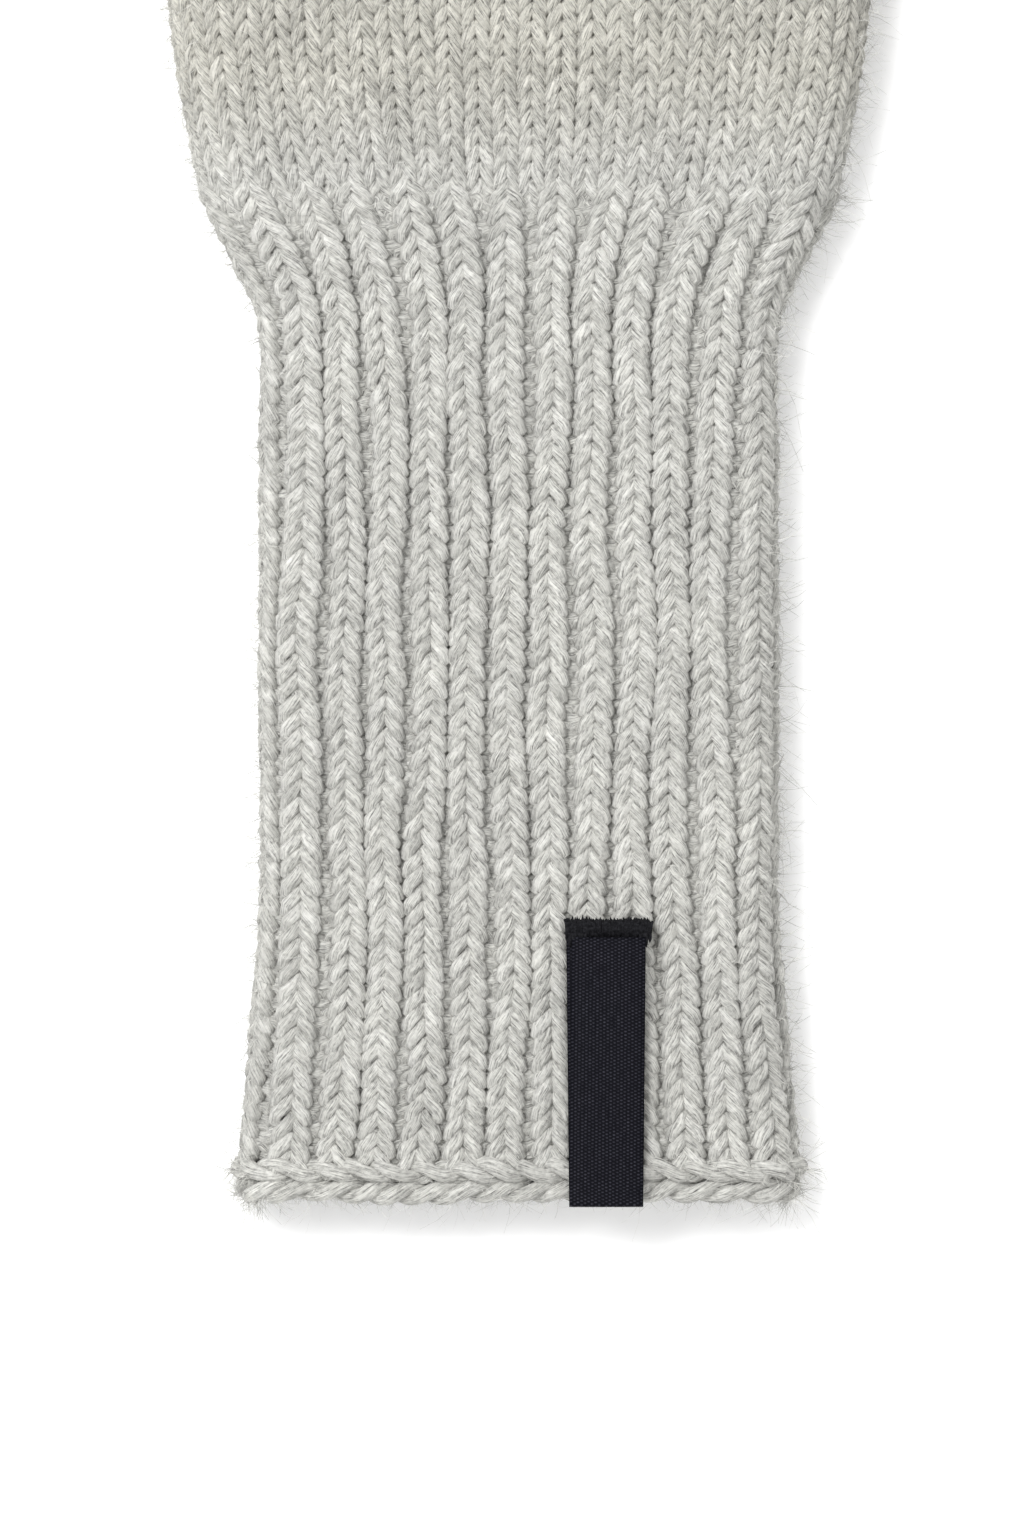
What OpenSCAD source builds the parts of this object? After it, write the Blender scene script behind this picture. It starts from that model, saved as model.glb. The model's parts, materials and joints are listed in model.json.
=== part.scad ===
// Knitted glove, lying flat with its palm up: rib cuff, plain-knit hand, thumb and
// four fingers, bound-off edge, folded ribbon label and its bar tack.
// Frame: X across the hand towards the thumb, Y from the cuff's mouth to the fingertips,
// Z up from the table. The origin is on the table under the middle of the wrist line,
// where the rib cuff turns into the plain-knit hand. Sizes are in millimetres.

/* [Cuff] */
// Flat width of the rib cuff
cuff_w = 74.5; // [64:0.5:88]
// Distance from the cuff's mouth to the wrist line
cuff_len = 146; // [120:1:180]
// Thickness of the cuff as it lies
cuff_t = 15; // [13:0.5:18]
// Wall of the rib knit
rib_wall = 4; // [3:0.25:4.25]
// Flat width of the bound-off edge at the mouth, where the rib spreads
edge_w = 81; // [74:0.5:94]
// Length over which the rib spreads towards the mouth
spread_len = 45; // [30:1:70]
// Length of the bound-off edge along the cuff
edge_len = 5; // [3:0.5:8]

/* [Wrist] */
// Distance from the narrowest place, where the wrist bends, to the wrist line
flare_len = 20; // [14:1:28]
// Flat width at the wrist line
wrist_w = 92; // [82:0.5:98]
// Furthest bend of the wrist, in degrees
wrist_bend = 60; // [40:1:75]

/* [Hand] */
// Flat width of the hand
hand_w = 101; // [94:0.5:112]
// Distance from the wrist line to the finger crotches
hand_len = 95; // [86:1:110]
// Thickness of the hand as it lies
hand_t = 17; // [15:0.5:20]
// Wall of the plain knit
hand_wall = 3; // [2.5:0.25:3.5]

/* [Fingers] */
// Flat width of a finger at its base
finger_w = 24; // [21:0.25:24.5]
// Thickness of a finger as it lies
finger_t = 13.5; // [12:0.25:15]
// Wall of a finger
finger_wall = 3; // [2:0.25:3.5]
// Space between neighbouring fingers at their bases
finger_gap = 0.7; // [0.5:0.1:1.5]
// Angle between neighbouring fingers
fan = 3; // [1:0.5:5]
// Length of the index finger from its crotch
index_len = 70; // [58:1:84]
// Length of the middle finger from its crotch
middle_len = 78; // [64:1:92]
// Length of the ring finger from its crotch
ring_len = 72; // [60:1:86]
// Length of the little finger from its crotch
little_len = 58; // [50:1:70]
// How much narrower a finger is past its middle bend
finger_taper = 1.4; // [0.6:0.1:2.5]
// Furthest bend at each finger bend, in degrees
finger_bend = 80; // [50:1:85]

/* [Thumb] */
// Flat width of the thumb
thumb_w = 26; // [23:0.5:29]
// Thickness of the thumb as it lies
thumb_t = 14.5; // [13:0.5:16]
// Angle of the thumb from the fingers' direction
thumb_angle = 42; // [36:1:48]
// Distance along the hand to where the thumb's centre line crosses the hand's side
thumb_y = 47; // [44:1:52]
// Length of the thumb from its bend at the hand to its tip
thumb_len = 54; // [46:1:64]
// Furthest bend at each thumb bend, in degrees
thumb_bend = 70; // [45:1:80]

/* [Label] */
// Width of the ribbon label
label_w = 10.5; // [8:0.5:14]
// Length of the folded label below its stitching
label_len = 38.4; // [26:0.2:40]
// Thickness of the two ribbon layers
label_t = 0.8; // [0.5:0.1:1.2]
// Distance from the cuff's middle to the label's middle
label_x = 12.7; // [4:0.1:18]
// Width of the bar tack, along the cuff
tack_len = 1.8; // [1.2:0.1:3]
// How far the bar tack runs past each side of the ribbon
tack_over = 0.6; // [0.2:0.1:1.5]

/* [Hidden] */
$fn = 64;
wool = [0.78, 0.78, 0.75];
wool_rib = [0.74, 0.74, 0.71];
wool_edge = [0.83, 0.83, 0.80];
ribbon_black = [0.06, 0.06, 0.08];

seam = 0.3;                      // running clearance between pieces of different bodies
slack = 0.05;                    // overlap that keeps a cut or a joined block clean
past = 20;                       // how far a cutting shape runs past what it cuts
flats = 12;                      // flats of a half-round end that cuts a loft
edge_steps = 10;                 // flats round one half-round edge of a loft
rib_steps = 6;                   // lengths that a spreading part of the rib is drawn in
hand_steps = 16;                 // lengths that the hand is drawn in
mouth_curve = 1.4;               // above 1, the rib spreads quickest at its mouth
swell_share = 0.36;              // share of the hand over which it swells
draw_start = 0.5;                // share of the hand where it starts to draw in
draw_share = 0.38;               // share of the hand over which it draws in

// Gap across a bend, taken up by the stretch of the knit: two half-round ends that turn
// about a point midway between them stay a seam apart at the furthest bend
function bend_gap(t, angle) = (t + seam) / cos(angle / 2) - t;
wrist_gap = bend_gap(cuff_t, wrist_bend);
finger_gap_y = bend_gap(finger_t, finger_bend);
thumb_gap = bend_gap(thumb_t, thumb_bend);

wrist_y = -flare_len;            // where the hand bends on the cuff
cuff_start = -cuff_len + edge_len;
cuff_end = wrist_y - wrist_gap / 2;
flare_start = wrist_y + wrist_gap / 2;

finger_pitch = finger_w + finger_gap;
upper_w = finger_w - finger_taper;
knuckle_y = hand_len;            // the fingers' hinge line
hand_end = knuckle_y - finger_gap_y / 2;
knuckle_wall = 4;                // wall left between the hand's hollow and the fingers' holes
knuckle_w = 4 * finger_pitch;

root_inset = 0.5;                // how far inside the hand's side the thumb's line crosses it
thumb_root = [hand_w / 2 - root_inset, thumb_y];   // where its centre line crosses the hand's side
thumb_out = 17;                  // from there to its first bend, past the thumb's crotch
lower_share = 0.5;               // a finger's middle bend, as a share of its length
thumb_lower_share = 0.48;        // the same for the thumb
thumb_mid = thumb_out + thumb_len * thumb_lower_share;
thumb_upper_w = thumb_w - finger_taper;
thumb_tip_start = thumb_out + thumb_len - thumb_upper_w / 2;

label_end = -cuff_len;           // the fold hangs level with the bound-off edge
label_top = label_end + label_len;
label_z = cuff_t + seam;
tack_t = label_z - cuff_t + label_t - slack;

// Index, middle, ring and little finger: [place across the hand in pitches, turn in fans, length]
FINGERS = [[1.5, 1.5, index_len], [0.5, 0.5, middle_len],
           [-0.5, -0.5, ring_len], [-1.5, -1.5, little_len]];

// A flat oval: straight top and bottom with half-round sides
module oval(w, t) {
    square([w - t, t], center = true);
    for (side = [-1, 1]) translate([side * (w - t) / 2, 0]) circle(d = t);
}

// A shape drawn across the hand, drawn out along +Y from y0 to y1
module along(y0, y1) {
    translate([0, y0, 0]) rotate([-90, 0, 0]) linear_extrude(height = y1 - y0) children();
}

// A block as long as y0 to y1, with ends that are half-round or square in side view
module side_block(y0, y1, t, w, round_start = true, round_end = true) {
    r = t / 2;
    translate([-w / 2, 0, 0]) rotate([90, 0, 90]) linear_extrude(height = w) {
        a = round_start ? y0 + r : y0;
        b = round_end ? y1 - r : y1;
        translate([a, 0]) square([b - a, t]);
        if (round_start) translate([a, r]) circle(r = r);
        if (round_end) translate([b, r]) circle(r = r);
    }
}

// An oval tube on the table, with the half-round ends that its bends need
module knit_tube(w, t, wall, y0, y1, turn = 0) {
    intersection() {
        side_block(y0, y1, t, 2 * w + y1);
        rotate([0, 0, -turn]) translate([0, 0, t / 2]) difference() {
            along(y0 - past, y1 + past) oval(w, t);
            along(y0 - past - 1, y1 + past + 1) oval(w - 2 * wall, t - 2 * wall);
        }
    }
}

// The upper part of a finger: half-round at its bend, cut square across where its tip starts
module upper_tube(w, t, wall, y0, y1, turn = 0) {
    intersection() {
        knit_tube(w, t, wall, y0, y1 + past, turn);
        rotate([0, 0, -turn]) translate([-w, 0, -1]) cube([2 * w, y1, t + 2]);
    }
}

// The closed tip of a finger: half a turn of the finger's outline, open towards the finger
module tip_cap(w, t, wall, y0) {
    translate([0, y0, t / 2]) rotate_extrude(angle = 180) intersection() {
        difference() {
            oval(w, t);
            oval(w - 2 * wall, t - 2 * wall);
        }
        translate([0, -t / 2 - 1]) square([w, t + 2]);
    }
}

// One ring of a flat loft that lies on the table: [y, left edge, right edge, thickness],
// drawn in by a wall
function ring(s, inset) =
    let (r = s[3] / 2 - inset)
    concat([for (i = [0:edge_steps]) let (a = -90 + 180 * i / edge_steps)
                [s[2] - inset - r + r * cos(a), s[0], inset + r + r * sin(a)]],
           [for (i = [0:edge_steps]) let (a = 90 + 180 * i / edge_steps)
                [s[1] + inset + r + r * cos(a), s[0], inset + r + r * sin(a)]]);

// A closed solid through rings at those stations
module loft(stations, inset = 0) {
    rings = [for (s = stations) ring(s, inset)];
    n = len(rings[0]);
    count = len(rings);
    polyhedron(
        points = [for (r = rings, p = r) p],
        faces = concat(
            [[for (i = [n - 1:-1:0]) i]],
            [for (k = [0:count - 2], i = [0:n - 1])
                let (j = (i + 1) % n) [k * n + i, k * n + j, (k + 1) * n + j, (k + 1) * n + i]],
            [[for (i = [0:n - 1]) (count - 1) * n + i]]),
        convexity = 6);
}

function eased(t) = t * t * (3 - 2 * t);

// The cuff spreads towards its mouth
function cuff_station(t) =
    let (y = cuff_start + spread_len * t,
         w = edge_w + (cuff_w - edge_w) * (1 - pow(1 - t, mouth_curve)))
    [y, -w / 2, w / 2, cuff_t];
CUFF = concat([for (i = [0:rib_steps]) cuff_station(i / rib_steps)],
              [[cuff_end, -cuff_w / 2, cuff_w / 2, cuff_t]]);

// The rib opens out from the wrist bend to the wrist line
function flare_station(t) =
    let (w = cuff_w + (wrist_w - cuff_w) * (eased(t) + t) / 2)
    [flare_start * (1 - t), -w / 2, w / 2, cuff_t];
FLARE = [for (i = [0:rib_steps]) flare_station(i / rib_steps)];

// The hand swells in its first third, then draws in to the row of fingers
function swell(t) = 1 - pow(1 - min(t / swell_share, 1), 2);
function draw_in(t) = eased(min(max((t - draw_start) / draw_share, 0), 1));
function hand_station(t) =
    let (wide = wrist_w + (hand_w - wrist_w) * swell(t),
         w = wide + (knuckle_w - wide) * draw_in(t),
         thick = cuff_t + (hand_t - cuff_t) * swell(t) + (finger_t - hand_t) * draw_in(t))
    [hand_end * t, -w / 2, w / 2, thick];
HAND = [for (i = [0:hand_steps]) hand_station(i / hand_steps)];

// A station list carried straight on at its first end, so that a hollow runs out past it
function before(list, by) = concat([[list[0][0] - by, list[0][1], list[0][2], list[0][3]]], list);

// The same at its last end
function after(list, by) =
    let (s = list[len(list) - 1]) concat(list, [[s[0] + by, s[1], s[2], s[3]]]);

module thumb_place() {
    translate([thumb_root[0], thumb_root[1], 0]) rotate([0, 0, -thumb_angle]) children();
}

module finger_place(f) {
    translate([f[0] * finger_pitch, knuckle_y, 0]) children();
}

module cuff() {
    color(wool_rib) intersection() {
        difference() {
            loft(CUFF);
            loft(after(before(CUFF, past), past), rib_wall);
        }
        side_block(cuff_start, cuff_end, cuff_t, edge_w + past, false, true, $fn = flats);
    }
}

module cuff_edge() {
    color(wool_edge)
        translate([0, 0, cuff_t / 2]) difference() {
            along(-cuff_len, cuff_start) oval(edge_w, cuff_t);
            along(-cuff_len - 1, cuff_start + 1) oval(edge_w - 2 * rib_wall, cuff_t - 2 * rib_wall);
        }
}

module wrist_rib() {
    color(wool_rib) intersection() {
        difference() {
            loft(FLARE);
            loft(after(before(FLARE, past), past), rib_wall);
        }
        side_block(flare_start, 0, cuff_t, wrist_w + past, true, false, $fn = flats);
    }
}

module hand_hollow() {
    last = hand_end - knuckle_wall;
    inner = [for (s = HAND) if (s[0] <= last) s];
    loft(before(inner, past), hand_wall);
}

module hand() {
    stub_end = thumb_out - thumb_gap / 2;
    color(wool) difference() {
        union() {
            intersection() {
                loft(HAND);
                side_block(-past, hand_end, finger_t, 2 * hand_w, false, true);
            }
            intersection() {
                loft([for (s = HAND) if (s[0] < hand_end - finger_t / 2) s]);
                side_block(0, hand_end - finger_t / 2, hand_t, 2 * hand_w, false, false);
            }
            thumb_place() knit_stub(stub_end);
        }
        hand_hollow();
        for (f = FINGERS) finger_place(f) rotate([0, 0, -f[1] * fan])
            translate([0, 0, finger_t / 2]) along(-past, past)
                oval(finger_w - 2 * finger_wall, finger_t - 2 * finger_wall);
        thumb_place() translate([0, 0, thumb_t / 2]) along(-thumb_w / 2, stub_end + past)
            oval(thumb_w - 2 * finger_wall, thumb_t - 2 * finger_wall);
    }
}

// The hand's own short sleeve that the thumb grows from
module knit_stub(stub_end) {
    intersection() {
        translate([0, 0, thumb_t / 2]) along(-thumb_w / 2, stub_end) oval(thumb_w, thumb_t);
        side_block(-thumb_w, stub_end, thumb_t, thumb_w + 2, false, true);
    }
}

module finger_lower(f) {
    color(wool) finger_place(f)
        knit_tube(finger_w, finger_t, finger_wall, finger_gap_y / 2,
                  f[2] * lower_share - finger_gap_y / 2, f[1] * fan);
}

function tip_start(f) = f[2] - upper_w / 2;

module finger_upper(f) {
    color(wool) finger_place(f)
        upper_tube(upper_w, finger_t, finger_wall, f[2] * lower_share + finger_gap_y / 2,
                   tip_start(f), f[1] * fan);
}

module finger_tip(f) {
    color(wool) finger_place(f) rotate([0, 0, -f[1] * fan])
        tip_cap(upper_w, finger_t, finger_wall, tip_start(f));
}

module thumb_lower() {
    color(wool) thumb_place()
        knit_tube(thumb_w, thumb_t, finger_wall, thumb_out + thumb_gap / 2,
                  thumb_mid - thumb_gap / 2);
}

module thumb_upper() {
    color(wool) thumb_place()
        upper_tube(thumb_upper_w, thumb_t, finger_wall, thumb_mid + thumb_gap / 2,
                   thumb_tip_start);
}

module thumb_tip() {
    color(wool) thumb_place()
        tip_cap(thumb_upper_w, thumb_t, finger_wall, thumb_tip_start);
}

module label() {
    color(ribbon_black) translate([label_x - label_w / 2, label_end, label_z])
        cube([label_w, label_len - seam, label_t]);
}

module label_bar_tack() {
    color(ribbon_black)
        translate([label_x - label_w / 2 - tack_over, label_top, cuff_t])
            cube([label_w + 2 * tack_over, tack_len, tack_t]);
}

cuff();
cuff_edge();
wrist_rib();
hand();
thumb_lower();
thumb_upper();
thumb_tip();
finger_lower(FINGERS[0]);  // index_lower
finger_upper(FINGERS[0]);  // index_upper
finger_tip(FINGERS[0]);  // index_tip
finger_lower(FINGERS[1]);  // middle_lower
finger_upper(FINGERS[1]);  // middle_upper
finger_tip(FINGERS[1]);  // middle_tip
finger_lower(FINGERS[2]);  // ring_lower
finger_upper(FINGERS[2]);  // ring_upper
finger_tip(FINGERS[2]);  // ring_tip
finger_lower(FINGERS[3]);  // little_lower
finger_upper(FINGERS[3]);  // little_upper
finger_tip(FINGERS[3]);  // little_tip
label();
label_bar_tack();
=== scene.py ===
"""The looks of the knitted glove: every loop of yarn in the rib cuff, the plain-knit hand, the
thumb and the four fingers, the bound-off edge, the folded satin ribbon with its bar tack, the
fuzz of loose fibres, and the table it lies on. Run in Blender; lengths are metres."""

import json
import math

import bpy
import numpy as np
from bpy.props import FloatProperty, FloatVectorProperty, IntProperty, PointerProperty
from mathutils import Matrix, Vector, noise

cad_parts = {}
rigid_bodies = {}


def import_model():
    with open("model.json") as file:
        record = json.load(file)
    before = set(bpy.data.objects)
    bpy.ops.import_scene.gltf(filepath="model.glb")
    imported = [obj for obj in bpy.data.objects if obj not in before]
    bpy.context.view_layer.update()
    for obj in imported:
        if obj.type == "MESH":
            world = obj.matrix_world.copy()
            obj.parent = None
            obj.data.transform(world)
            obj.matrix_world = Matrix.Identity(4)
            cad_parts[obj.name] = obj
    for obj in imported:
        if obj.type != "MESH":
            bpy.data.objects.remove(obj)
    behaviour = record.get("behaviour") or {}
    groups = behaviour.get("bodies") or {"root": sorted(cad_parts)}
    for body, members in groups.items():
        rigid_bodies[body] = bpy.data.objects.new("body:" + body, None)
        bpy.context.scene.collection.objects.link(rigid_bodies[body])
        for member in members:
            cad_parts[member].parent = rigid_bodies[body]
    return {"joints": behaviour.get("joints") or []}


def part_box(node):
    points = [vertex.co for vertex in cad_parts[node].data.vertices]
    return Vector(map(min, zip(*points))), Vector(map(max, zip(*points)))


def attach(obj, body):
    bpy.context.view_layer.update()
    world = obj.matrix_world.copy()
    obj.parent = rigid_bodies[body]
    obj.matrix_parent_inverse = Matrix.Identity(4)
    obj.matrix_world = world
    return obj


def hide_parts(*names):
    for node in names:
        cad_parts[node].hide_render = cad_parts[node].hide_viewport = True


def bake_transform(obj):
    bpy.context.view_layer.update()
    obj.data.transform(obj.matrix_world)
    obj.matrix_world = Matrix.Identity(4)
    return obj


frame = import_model()
JOINTS = {j["name"]: Vector(j["pos_m"]) for j in frame["joints"]}
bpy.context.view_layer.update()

bl_info = {
    "name": "Knitted glove",
    "version": (1, 0, 0),
    "blender": (4, 5, 0),
    "location": "3D View > Sidebar > Glove",
    "description": "Knits a long-cuffed glove loop by loop around its solid parts",
    "category": "Add Mesh",
}

TAU = 2 * math.pi
MM = 0.001
FINGERS = ("index", "middle", "ring", "little")

FUZZ = 100000  # loose fibres on each square metre of yarn, before the sides get their share
PLAIN_TINT = (0.932, 0.916, 0.872)  # the plain knit is a little warmer than the rib
RIB_INSET = 2.35 * MM  # how far inside the glove's outline the middle of the yarn runs
PLAIN_INSET = 1.35 * MM
PLAIN_CORE = 0.9 * MM  # how far under the middle of the yarn the felted backing lies
WRIST_REACH = 13 * MM  # rib pieces whose top comes within this distance below the wrist hinge are fixed in place rather than attached to the cuff
FINGER_START = -7 * MM  # where the knit of a finger starts, inside the hand
THUMB_START = -25 * MM
FINGER_FUZZ = 0.65  # shares of the hand's fuzz
EDGE_FUZZ = 3.2


# ---------------------------------------------------------------- sizes and colours


def count_setting(name, words, default, low, high):
    return IntProperty(name=name, description=words, default=default, min=low, max=high)


def length_setting(name, words, default, low, high):
    """A length, given here in millimetres"""
    return FloatProperty(name=name, description=words, default=default * MM, min=low * MM, max=high * MM,
                         unit="LENGTH", precision=4)


def colour_setting(name, words, default):
    return FloatVectorProperty(name=name, description=words, default=default, subtype="COLOR", size=3,
                               min=0, max=1)


class KnitSizes(bpy.types.PropertyGroup):
    """Sizes of the knit"""

    wales: count_setting("Stitches round", "Stitches in one round", 52, 20, 90)
    course: length_setting("Row height", "Height of one row of stitches", 2.5, 1, 6)
    rib_yarn: length_setting("Rib yarn radius", "Radius of the yarn in the rib", 1.06, 0.3, 3)
    plain_yarn: length_setting("Plain yarn radius", "Radius of the yarn in the plain knit", 0.95, 0.3, 3)
    edge_yarn: length_setting("Edge yarn radius", "Radius of the yarn in the bound-off edge", 1.15, 0.3, 3)
    finger_wales: count_setting("Stitches round a finger", "Stitches in one round of a finger", 14, 8, 24)
    thumb_wales: count_setting("Stitches round the thumb", "Stitches in one round of the thumb", 15, 8, 24)
    unevenness: FloatProperty(name="Unevenness", description="How far the loops stray from a perfect row",
                              default=0.16, min=0.0, max=0.6)


class GloveShape(bpy.types.PropertyGroup):
    """Widths of the glove as it lies"""

    narrow: length_setting("Cuff width", "Flat width of the cuff at its middle", 74.5, 50, 100)
    spread: length_setting("Spread", "Length over which the rib spreads to its mouth", 45, 10, 90)
    finger: length_setting("Finger width", "Flat width of a finger", 24, 15, 30)
    thumb: length_setting("Thumb width", "Flat width of the thumb", 26, 15, 35)
    taper: length_setting("Taper", "How much narrower a finger is near its tip", 1.4, 0, 4)
    sag: length_setting("Sag", "How far the upper side sinks between its edges", 0.9, 0, 3)


class YarnColours(bpy.types.PropertyGroup):
    """Colours of the heather yarn"""

    light: colour_setting("Light fibres", "Palest fibres", (0.76, 0.755, 0.715))
    middle: colour_setting("Middle fibres", "Most of the fibres", (0.57, 0.565, 0.535))
    dark: colour_setting("Dark fibres", "Darkest fibres", (0.13, 0.127, 0.12))
    # the gaps' colour is painted shade: the same yarn as the loops, made far darker to stand for the shade
    # between them
    core: colour_setting("Shaded gaps", "Felted fibres in the gaps, darkened as painted shade", (0.20, 0.197, 0.187))
    ribbon: colour_setting("Ribbon", "Satin ribbon", (0.003, 0.003, 0.005))


class StageSizes(bpy.types.PropertyGroup):
    """The table, the lights and the camera"""

    height: length_setting("Camera height", "Height of the camera above the table", 950, 300, 3000)
    frame_h: length_setting("Picture height", "Length of table in the picture's height", 219.4, 100, 600)
    key: FloatProperty(name="Main light", description="Strength of the soft main light", default=11.0,
                       min=0, max=100)
    sky: FloatProperty(name="Room light", description="Strength of the light from all round", default=1.05,
                       min=0, max=4)


# ---------------------------------------------------------------- node helpers


class Sums:
    """What node trees for shapes and for materials share"""

    def put(self, socket, value):
        if isinstance(value, bpy.types.NodeSocket):
            self.tree.links.new(value, socket)
        elif value is not None:
            socket.default_value = value

    def node(self, kind, ins=None, **settings):
        made = self.tree.nodes.new(kind)
        for key, value in settings.items():
            setattr(made, key, value)
        for key, value in (ins or {}).items():
            self.put(made.inputs[key], value)
        return made

    def sum(self, op, a, b=None):
        made = self.node("ShaderNodeMath", operation=op)
        self.put(made.inputs[0], a)
        self.put(made.inputs[1], b)
        return made.outputs[0]

    def xyz(self, x, y, z):
        return self.node("ShaderNodeCombineXYZ", {0: x, 1: y, 2: z}).outputs[0]

    def split(self, v):
        return self.node("ShaderNodeSeparateXYZ", {0: v}).outputs

    def noise(self, where, scale, detail, out="Color", **more):
        made = self.node("ShaderNodeTexNoise", {"Vector": where, "Scale": scale, "Detail": detail, **more})
        return made.outputs[out]


class Tree(Sums):
    """A Geometry Nodes tree built by writing sums"""

    def __init__(self, name, inputs):
        self.tree = bpy.data.node_groups.new(name, "GeometryNodeTree")
        new = self.tree.interface.new_socket
        new("Geometry", in_out="INPUT", socket_type="NodeSocketGeometry")
        new("Geometry", in_out="OUTPUT", socket_type="NodeSocketGeometry")
        self.ids = {}
        for label, kind, default, words in inputs:
            socket = new(label, in_out="INPUT", socket_type="NodeSocket" + kind, description=words)
            if default is not None:
                socket.default_value = default
            self.ids[label] = socket.identifier
        self.start = self.tree.nodes.new("NodeGroupInput")
        self.end = self.tree.nodes.new("NodeGroupOutput")

    def __getitem__(self, label):
        return self.start.outputs[label]

    def vec(self, op, a, b=None, scale=None):
        made = self.node("ShaderNodeVectorMath", operation=op)
        self.put(made.inputs[0], a)
        self.put(made.inputs[1], b)
        if scale is not None:
            self.put(made.inputs["Scale"], scale)
        return made.outputs[0]

    def dot(self, a, b):
        return self.node("ShaderNodeVectorMath", {0: a, 1: b}, operation="DOT_PRODUCT").outputs["Value"]

    def named(self, name, kind="FLOAT_VECTOR"):
        return self.node("GeometryNodeInputNamedAttribute", {"Name": name}, data_type=kind).outputs[0]

    def store(self, geometry, name, value, kind="FLOAT", domain="POINT"):
        ins = {"Geometry": geometry, "Name": name, "Value": value}
        return self.node("GeometryNodeStoreNamedAttribute", ins, data_type=kind, domain=domain).outputs[0]

    def shifted(self, colour, scale):
        """x, y and z of a noise's colour, centred on zero"""
        return self.split(self.vec("SCALE", self.vec("SUBTRACT", colour, (0.5, 0.5, 0.5)), scale=scale))

    def finish(self, geometry, material):
        real = self.node("GeometryNodeRealizeInstances", {0: geometry})
        smooth = self.node("GeometryNodeSetShadeSmooth", {0: real.outputs[0], "Shade Smooth": True})
        painted = self.node("GeometryNodeSetMaterial", {"Geometry": smooth.outputs[0], "Material": material})
        self.tree.links.new(painted.outputs[0], self.end.inputs[0])


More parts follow.
